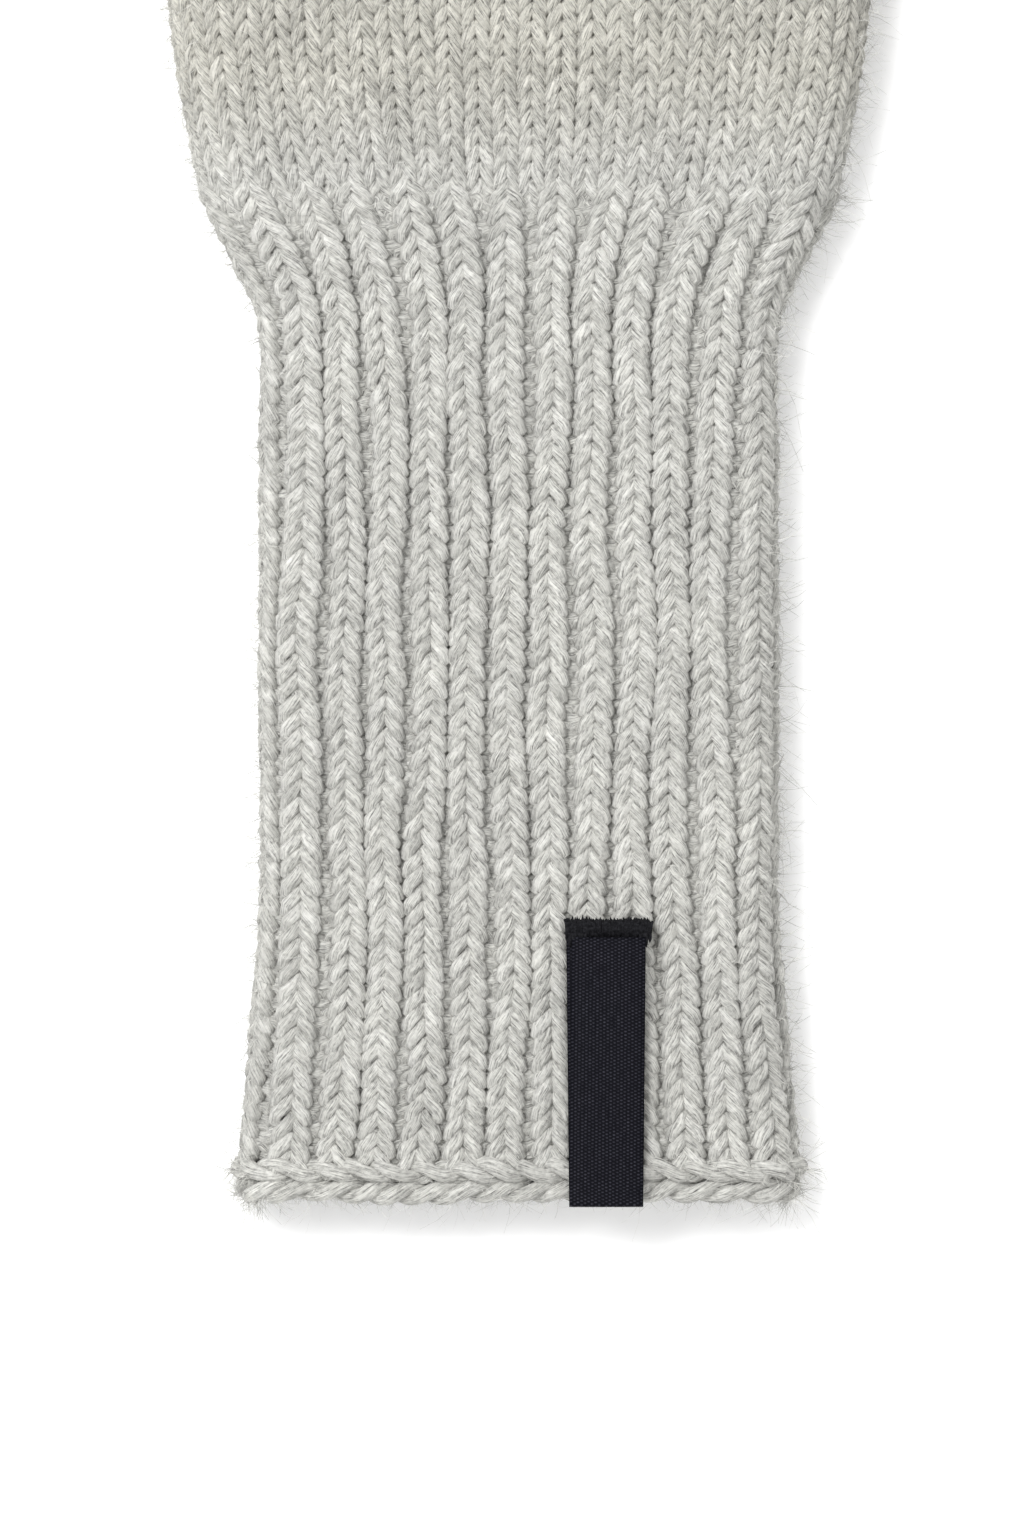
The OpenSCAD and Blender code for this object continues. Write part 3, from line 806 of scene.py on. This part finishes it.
def sleeve_surface():
    """The surface of the cuff and hand"""
    k = bpy.context.scene.glove_knit
    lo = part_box("cuff_edge")[0].y
    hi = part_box("hand")[1].y
    first, last = math.floor(lo / k.course) - 3, math.ceil(hi / k.course) + 3
    stations = []
    for j in range((last - first) * 2 + 1):
        row = first + j / 2
        y = row * k.course
        w, t = sleeve_size(min(max(y, lo), hi))
        inset = RIB_INSET + (PLAIN_INSET - RIB_INSET) * eased((y + 12 * MM) / (14 * MM))
        if y > hi - 6 * MM:
            inset += 0.9 * MM * eased((y - hi + 6 * MM) / (6 * MM))
        stations.append((row, Vector((0, y, t / 2)), Vector((1, 0, 0)), w - 2 * inset, t - 2 * inset, 1.0))
    return knit_surface("sleeve", stations, k.wales * 3, 2, bpy.context.scene.glove_shape.sag, 0.5 * MM)


def sleeve():
    return once("sleeve", sleeve_surface)


def finger_surface(name, root, way, w0, w1, t, start, end, wales, course, bend_at):
    """The surface of one finger, from where it starts inside the hand to its gathered tip"""
    across = Vector((way.y, -way.x, 0))
    half = w1 / 2
    stations = []
    count = math.ceil((end - start) / course) * 2
    for j in range(-4, count + 1):
        s = start + (end - start) * j / count
        w = w0 + (w1 - w0) * eased((s - bend_at + 8 * MM) / (16 * MM))
        thin = t
        left = end - s
        if left < half:
            q = math.sqrt(max(1 - (1 - left / half) ** 2, 0.0))
            w *= max(q, 0.12)
        if left < t / 2:
            q = math.sqrt(max(1 - (1 - left / (t / 2)) ** 2, 0.0))
            thin *= max(q, 0.2)
        girth = (2 * (w - thin) + math.pi * thin) / (2 * (w0 - t) + math.pi * t) if w > thin else w / w0
        size = min(max(girth, 0.34), 1.0) ** 0.7
        inset = PLAIN_INSET * size
        tuck = 1.6 * MM * (1 - eased((s - start) / (7 * MM)))
        w_in, t_in = max(w - 2 * inset - tuck, 0.8 * MM), max(thin - 2 * inset - 2 * tuck, 0.7 * MM)
        centre = root + way * s + Vector((0, 0, t / 2))
        stations.append(((s - start) / course, centre, across, w_in, min(t_in, w_in * 0.999), size))
    return knit_surface(name, stations, wales * 4, sum(map(ord, name)) % 50, 0.3 * MM, 0.3 * MM)


def rib_settings(k):
    return dict(Rib=1.0, Points=14, Sides=7, Loop_height=0.90, Leg_bulge=0.41, Rib_bulge=0.14,
                Depth=0.62 * MM, Rib_depth=0.85 * MM, Radius=k.rib_yarn, Unevenness=k.unevenness * 2.1,
                Drift=1.3)


def plain_settings(k, **extra):
    values = dict(Rib=0.0, Points=12, Sides=7, Loop_height=0.98, Leg_bulge=0.30, Depth=0.62 * MM,
                  Radius=k.plain_yarn)
    values.update(extra)
    return values


# ---------------------------------------------------------------- operators


class GLOVE_OT_rib_cuff(bpy.types.Operator):
    """Knit the rib cuff, from its mouth to the wrist line"""

    bl_idname = "glove.rib_cuff"
    bl_label = "Knit the rib cuff"

    def execute(self, context):
        k = context.scene.glove_knit
        yarn = once("rib", yarn_paint, "Rib yarn", 0.93)
        rows = round(-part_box("cuff")[0].y / k.course)
        bands = 6
        hinge, reach = JOINTS["wrist"], Vector((0, WRIST_REACH, 0))
        edges = [round(-rows + rows * i / bands) for i in range(bands + 1)]
        for i, (first, stop) in enumerate(zip(edges, edges[1:])):
            piece = knit_piece(f"rib_{i + 1}", sleeve(), first, stop - first, k.wales, rib_settings(k), yarn,
                               0.0, FUZZ, 10 + i)
            if i == 0:
                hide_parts("cuff")
            if i == bands - 1:
                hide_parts("wrist_rib")
            if stop * k.course > (hinge - reach).y:
                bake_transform(piece)
            else:
                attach(piece, "cuff")
        return {"FINISHED"}


class GLOVE_OT_bound_edge(bpy.types.Operator):
    """Bind off the mouth of the cuff with a chain of coiled strands"""

    bl_idname = "glove.bound_edge"
    bl_label = "Bind off the edge"

    def execute(self, context):
        k = context.scene.glove_knit
        yarn = once("edge", yarn_paint, "Edge yarn", 0.96)
        rows = round(-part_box("cuff")[0].y / k.course)
        strands = []
        # two ropes of two coiled strands each, slanting opposite ways, as a chain of bound-off loops does
        ropes = ((-rows - 0.50, 1.0), (-rows - 0.50, -1.0), (-rows - 1.62, 1.0), (-rows - 1.62, -1.0))
        for i, (row, side) in enumerate(ropes):
            slant = side if i < 2 else -side
            coil = dict(Chain=1.0, Lean=slant, Points=18, Sides=8, Loop_height=0.32, Radius=k.edge_yarn,
                        Depth=side * 0.9 * MM, Rib_depth=(1.0 if i < 2 else 0.3) * MM,
                        Unevenness=k.unevenness * 3.2)
            strands.append(knit_piece(f"strand_{i}", sleeve(), row, 1, k.wales // 3, coil, yarn, None,
                                      FUZZ * EDGE_FUZZ, 30 + i, (0.0, -1.5, 0.0)))
        core = core_shell("edge_core", sleeve(), -rows - 1.5, -rows - 1, 0.6 * MM, once("core", gap_shade_paint))
        piece = joined("bound_edge", strands + [core])
        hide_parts("cuff_edge")
        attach(piece, "cuff")
        return {"FINISHED"}


class GLOVE_OT_plain_hand(bpy.types.Operator):
    """Knit the plain hand, from the wrist line to the knuckles"""

    bl_idname = "glove.plain_hand"
    bl_label = "Knit the hand"

    def execute(self, context):
        k = context.scene.glove_knit
        yarn = once("plain", yarn_paint, "Plain yarn", 0.84, PLAIN_TINT)
        rows = round(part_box("hand")[1].y / k.course)
        edges = [round(rows * i / 3) for i in range(4)]
        for i, (first, stop) in enumerate(zip(edges, edges[1:])):
            piece = knit_piece(f"hand_{i + 1}", sleeve(), first, stop - first, k.wales, plain_settings(k),
                               yarn, PLAIN_CORE, FUZZ, 20 + i)
            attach(piece, "hand")
            if i == 0:
                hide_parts("hand")
        return {"FINISHED"}


def knit_finger(name, root, way, widths, thick, start, middle, end, wales):
    """The lower and the upper half of one finger"""
    k = bpy.context.scene.glove_knit
    yarn = once("plain", yarn_paint, "Plain yarn", 0.84, PLAIN_TINT)
    surface = finger_surface(name, root, way, *widths, thick, start, end, wales, k.course, middle)
    last_row = (end - start) / k.course - 0.02
    rows = math.floor(last_row - 0.33)
    split = round((middle / 2 - start) / k.course)
    plan = (("lower", 0, split, "hand", f"{name}_lower", 0.0),
            ("upper", split, rows - split + 1, f"{name}_lower", f"{name}_upper", middle))
    for part, first, courses, before, after, bend in plan:
        settings = plain_settings(k, Points=11, Sides=6, Unevenness=k.unevenness * 0.8, Last_row=last_row)
        piece = knit_piece(f"{name}_{part}_knit", surface, first, courses, wales, settings, yarn,
                           PLAIN_CORE, FUZZ * FINGER_FUZZ, sum(map(ord, name + part)) % 90)
        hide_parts(f"{name}_{part}")
        if part == "upper":
            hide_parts(f"{name}_tip")
        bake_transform(piece)


class GLOVE_OT_fingers(bpy.types.Operator):
    """Knit the four fingers out of the hand"""

    bl_idname = "glove.fingers"
    bl_label = "Knit the fingers"

    def execute(self, context):
        shape, k = context.scene.glove_shape, context.scene.glove_knit
        for name in FINGERS:
            knuckle, middle = JOINTS[f"{name}_knuckle"], JOINTS[f"{name}_middle"]
            root = Vector((knuckle.x, knuckle.y, 0))
            way = Vector((middle.x - knuckle.x, middle.y - knuckle.y, 0))
            half = way.length
            way.normalize()
            knit_finger(name, root, way, (shape.finger, shape.finger - shape.taper),
                        box_size(f"{name}_lower").z, FINGER_START, half,
                        (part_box(f"{name}_tip")[1].y - root.y) / way.y, k.finger_wales)
        return {"FINISHED"}


class GLOVE_OT_thumb(bpy.types.Operator):
    """Knit the thumb out of the side of the hand"""

    bl_idname = "glove.thumb"
    bl_label = "Knit the thumb"

    def execute(self, context):
        shape, k = context.scene.glove_shape, context.scene.glove_knit
        base, middle = JOINTS["thumb_base"], JOINTS["thumb_middle"]
        way = Vector((middle.x - base.x, middle.y - base.y, 0))
        half = way.length
        way.normalize()
        root = Vector((base.x, base.y, 0))
        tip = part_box("thumb_tip")[1]
        radius = (shape.thumb - shape.taper) / 2
        end = (tip.y - root.y - radius) / way.y + radius
        knit_finger("thumb", root, way, (shape.thumb, shape.thumb - shape.taper),
                    box_size("thumb_lower").z, THUMB_START, half, end, k.thumb_wales)
        return {"FINISHED"}


def satin_and_sheen_paint():
    """Dark satin, its warp floats stepping sideways from one thread to the next, their glint painted pale
    into the colour as sheen
    """
    ink = tuple(bpy.context.scene.glove_colours.ribbon)
    # pale is painted sheen: the glint of the warp floats put into the colour, while the true gloss is kept
    # low
    pale = tuple(x * 5.0 + 0.020 for x in ink)
    threads, picks = 21.0, 95.0
    p = Paint("Satin ribbon")
    here = p.node("ShaderNodeUVMap", uv_map="weave").outputs[0]
    xy = p.split(here)
    thread, pick = p.sum("MULTIPLY", xy[0], threads), p.sum("MULTIPLY", xy[1], picks)
    step = p.sum("MULTIPLY", p.sum("FLOOR", thread), 0.4)
    a = p.sum("ABSOLUTE", p.sum("SINE", p.sum("MULTIPLY", thread, math.pi)))
    b = p.sum("ABSOLUTE", p.sum("SINE", p.sum("MULTIPLY", p.sum("ADD", pick, step), math.pi)))
    weave = p.sum("MULTIPLY", p.sum("POWER", a, 0.35), p.sum("POWER", b, 1.4))
    stray = p.grain(here, 26.0, 3.0, 0.6)
    share = p.sum("MULTIPLY", weave, p.sum("ADD", p.sum("MULTIPLY", stray, 0.9), 0.25))
    # the weave's pattern is the ribbon's own, its pale floats are painted sheen
    p.set(Base_Color=p.ramp(share, [(0.40, ink), (0.85, pale)]), Roughness=0.5, Specular_IOR_Level=0.04)
    p.set(Normal=p.bump(weave, 0.6, 0.00012))
    return p.made


def ribbon_path(top, bottom, upper, lower):
    """(y, z, share of the lower layer run) down the upper layer, round the fold and back beneath"""
    rows, turns = 60, 8
    bend_r = (upper - lower) / 2

    def wave(s):
        return 0.35 * MM * math.sin(s * 5.1 + 0.4) * s

    path = []
    for j in range(rows + 1):
        s = j / rows
        path.append((top + (bottom - top) * s, upper + wave(s), 0.0))
    folded = path[rows][1] - bend_r
    for j in range(1, turns):
        a = math.pi * j / turns
        path.append((bottom - bend_r * math.sin(a), folded + bend_r * math.cos(a), 0.0))
    for j in range(rows + 1):
        s = j / rows
        path.append((bottom + (top - bottom) * s, lower + wave(1 - s), s))
    return path


def ribbon_mesh(path, left, width, top, bottom):
    """A thin strip along the path, its edges curled down a little, and the strip's length"""
    half_t, across = 0.17 * MM, 12
    verts, uvs, faces = [], [], []
    n = len(path)
    run = 0.0
    for j, (y, z, back) in enumerate(path):
        if j:
            run += math.dist((y, z), path[j - 1][:2])
        ahead, behind = path[min(j + 1, n - 1)], path[max(j - 1, 0)]
        tangent = Vector((0, ahead[0] - behind[0], ahead[1] - behind[1])).normalized()
        normal = Vector((0, tangent.z, -tangent.y))
        shift = -0.75 * MM * back - 0.35 * MM * (y - top) / (bottom - top)
        for side in (1, -1):
            for i in range(across + 1):
                q = i / across
                curl = 0.25 * MM * (2 * q - 1) ** 4
                spot = Vector((left + width * q + shift, y, z - curl * (1 - back)))
                verts.append(spot + normal * half_t * side)
                uvs.append((q, run / width * 0.22))
    w = across + 1
    for j in range(n - 1):
        a, b = j * 2 * w, (j + 1) * 2 * w
        for i in range(across):
            faces.append((a + i, b + i, b + i + 1, a + i + 1))
            faces.append((a + w + i + 1, b + w + i + 1, b + w + i, a + w + i))
        faces.append((a + w, b + w, b, a))
        faces.append((a + across, b + across, b + w + across, a + w + across))
    last = (n - 1) * 2 * w
    for i in range(across):
        faces.append((i, i + 1, w + i + 1, w + i))
        faces.append((last + w + i, last + w + i + 1, last + i + 1, last + i))
    mesh = bpy.data.meshes.new("ribbon")
    mesh.from_pydata(verts, [], faces)
    layer = mesh.uv_layers.new(name="weave")
    for loop in mesh.loops:
        layer.data[loop.index].uv = uvs[loop.vertex_index]
    mesh.polygons.foreach_set("use_smooth", [True] * len(faces))
    mesh.update()
    return mesh, run


class GLOVE_OT_ribbon(bpy.types.Operator):
    """Lay the folded satin ribbon on the cuff"""

    bl_idname = "glove.ribbon"
    bl_label = "Lay the ribbon"

    def execute(self, context):
        lo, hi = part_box("label")
        width = hi.x - lo.x
        top, bottom = hi.y - 0.1 * MM, lo.y + 0.35 * MM
        path = ribbon_path(top, bottom, hi.z + 0.1 * MM, lo.z + 0.1 * MM)
        mesh, run = ribbon_mesh(path, lo.x, width, top, bottom)
        mesh.materials.append(satin_and_sheen_paint())
        piece = bpy.data.objects.new("ribbon", mesh)
        context.scene.collection.objects.link(piece)
        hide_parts("label")
        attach(piece, "label")
        return {"FINISHED"}


def thread_paint():
    """Black thread with a little lint"""
    p = Paint("Black thread")
    lint = p.grain(p.node("ShaderNodeTexCoord").outputs["Object"], 2600.0, 3.0, 0.7)
    black = p.ramp(lint, [(0.4, (0.003, 0.003, 0.004)), (0.75, (0.02, 0.02, 0.023))])
    p.set(Base_Color=black, Roughness=0.7, Specular_IOR_Level=0.08)
    p.set(Normal=p.bump(lint, 0.5, 0.0001))
    return p.made


class GLOVE_OT_bar_tack(bpy.types.Operator):
    """Sew the ribbon's top down with a bar tack"""

    bl_idname = "glove.bar_tack"
    bl_label = "Sew the bar tack"

    def execute(self, context):
        lo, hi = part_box("label_bar_tack")
        thread = thread_paint()
        seed = bpy.data.objects.new("thread_start", bpy.data.meshes.new("thread_start"))
        layers = []
        # each pass of the needle, then its two loose ends: share of the bar, reach, rise, stitches and shift
        passes = ((1.0, 2.4, 1.0, 44, 0.0, 0.0), (1.02, 1.9, 1.3, 36, 0.0, 0.15),
                  (1.04, 3.2, 0.6, 25, 0.0, -0.3), (1.06, 1.2, 1.5, 26, 0.0, 0.5),
                  (0.22, 4.6, 0.9, 6, -4.4, -0.9), (0.10, 3.6, 0.8, 3, 4.9, -0.6))
        for i, (long, reach, rise, stitches, aside, drop) in enumerate(passes):
            layer = grown(seed, thread_zigzag, f"thread_{i}", Width=(hi.x - lo.x) * long, Reach=reach * MM,
                          Stitches=stitches, Rise=rise * MM, Radius=0.2 * MM, Seed=i, Material=thread)
            middle = Vector(((lo.x + hi.x) / 2 + aside * MM, (lo.y + hi.y) / 2 + drop * MM, lo.z + 0.15 * MM))
            layer.data.transform(Matrix.Translation(middle))
            layers.append(layer)
        piece = joined("bar_tack", layers)
        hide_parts("label_bar_tack")
        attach(piece, "cuff")
        return {"FINISHED"}


def table_paint():
    """A pale table, not quite even"""
    p = Paint("Pale table")
    cloud = p.grain(p.node("ShaderNodeTexCoord").outputs["Object"], 3.0)
    pale = p.ramp(cloud, [(0.3, (0.93, 0.93, 0.93)), (0.7, (0.95, 0.95, 0.95))])
    p.set(Base_Color=pale, Roughness=0.9, Specular_IOR_Level=0.1)
    return p.made


class GLOVE_OT_stage(bpy.types.Operator):
    """Set out the pale table, the soft lights and the camera"""

    bl_idname = "glove.stage"
    bl_label = "Set the stage"

    def execute(self, context):
        st = context.scene.glove_stage
        scene = context.scene
        mesh = bpy.data.meshes.new("table")
        half, under = 4.0, -0.2 * MM
        corners = [(x * half, y * half, under) for x, y in ((-1, -1), (1, -1), (1, 1), (-1, 1))]
        mesh.from_pydata(corners, [], [(0, 1, 2, 3)])
        table = bpy.data.objects.new("table", mesh)
        scene.collection.objects.link(table)
        mesh.materials.append(table_paint())
        look = Vector((-1 * MM, -84 * MM, 8 * MM))
        lens = bpy.data.cameras.new("camera")
        camera = bpy.data.objects.new("camera", lens)
        scene.collection.objects.link(camera)
        lens.sensor_width = 36.0
        away = st.height - look.z
        lens.lens = 36.0 * away / st.frame_h
        lens.clip_start, lens.clip_end = 0.01, 20
        camera.location = (look.x, look.y, st.height)
        scene.camera = camera
        sky = bpy.data.worlds.new("Room")
        sky.use_nodes = True
        sky.node_tree.nodes["Background"].inputs[0].default_value = (1, 1, 1, 1)
        sky.node_tree.nodes["Background"].inputs[1].default_value = st.sky
        scene.world = sky
        lamps = (("main", (-0.42, 0.42, 0.95), st.key, 0.45), ("fill", (0.7, -0.6, 1.2), st.key * 0.15, 1.2))
        for name, place, power, size in lamps:
            light = bpy.data.lights.new(name, "AREA")
            light.energy, light.size = power, size
            lamp = bpy.data.objects.new(name, light)
            scene.collection.objects.link(lamp)
            lamp.location = Vector(place) + Vector((0, look.y, 0))
            lamp.rotation_euler = (look - lamp.location).to_track_quat("-Z", "Y").to_euler()
        scene.view_settings.view_transform = "Standard"
        return {"FINISHED"}


class GLOVE_PT_panel(bpy.types.Panel):
    """Sizes, colours and steps of the glove"""

    bl_idname = "GLOVE_PT_panel"
    bl_label = "Knitted glove"
    bl_space_type = "VIEW_3D"
    bl_region_type = "UI"
    bl_category = "Glove"

    def draw(self, context):
        scene = context.scene
        for name in GROUPS:
            group, title = getattr(scene, name), name.removeprefix("glove_").capitalize()
            box = self.layout.box()
            box.label(text=title)
            for key in group.bl_rna.properties.keys():
                if key not in ("rna_type", "name"):
                    box.prop(group, key)
        for step in STEPS:
            self.layout.operator(step.bl_idname)


GROUPS = {"glove_knit": KnitSizes, "glove_shape": GloveShape, "glove_colours": YarnColours,
          "glove_stage": StageSizes}
STEPS = (GLOVE_OT_rib_cuff, GLOVE_OT_bound_edge, GLOVE_OT_plain_hand, GLOVE_OT_fingers, GLOVE_OT_thumb,
         GLOVE_OT_ribbon, GLOVE_OT_bar_tack, GLOVE_OT_stage)


def register():
    for made in (*GROUPS.values(), *STEPS, GLOVE_PT_panel):
        bpy.utils.register_class(made)
    for name, group in GROUPS.items():
        setattr(bpy.types.Scene, name, PointerProperty(type=group))


def unregister():
    for name in GROUPS:
        delattr(bpy.types.Scene, name)
    for made in reversed((*GROUPS.values(), *STEPS, GLOVE_PT_panel)):
        bpy.utils.unregister_class(made)


def main():
    register()
    bpy.ops.glove.rib_cuff()
    bpy.ops.glove.bound_edge()
    bpy.ops.glove.plain_hand()
    bpy.ops.glove.fingers()
    bpy.ops.glove.thumb()
    bpy.ops.glove.ribbon()
    bpy.ops.glove.bar_tack()
    bpy.ops.glove.stage()


if __name__ == "__main__":
    main()
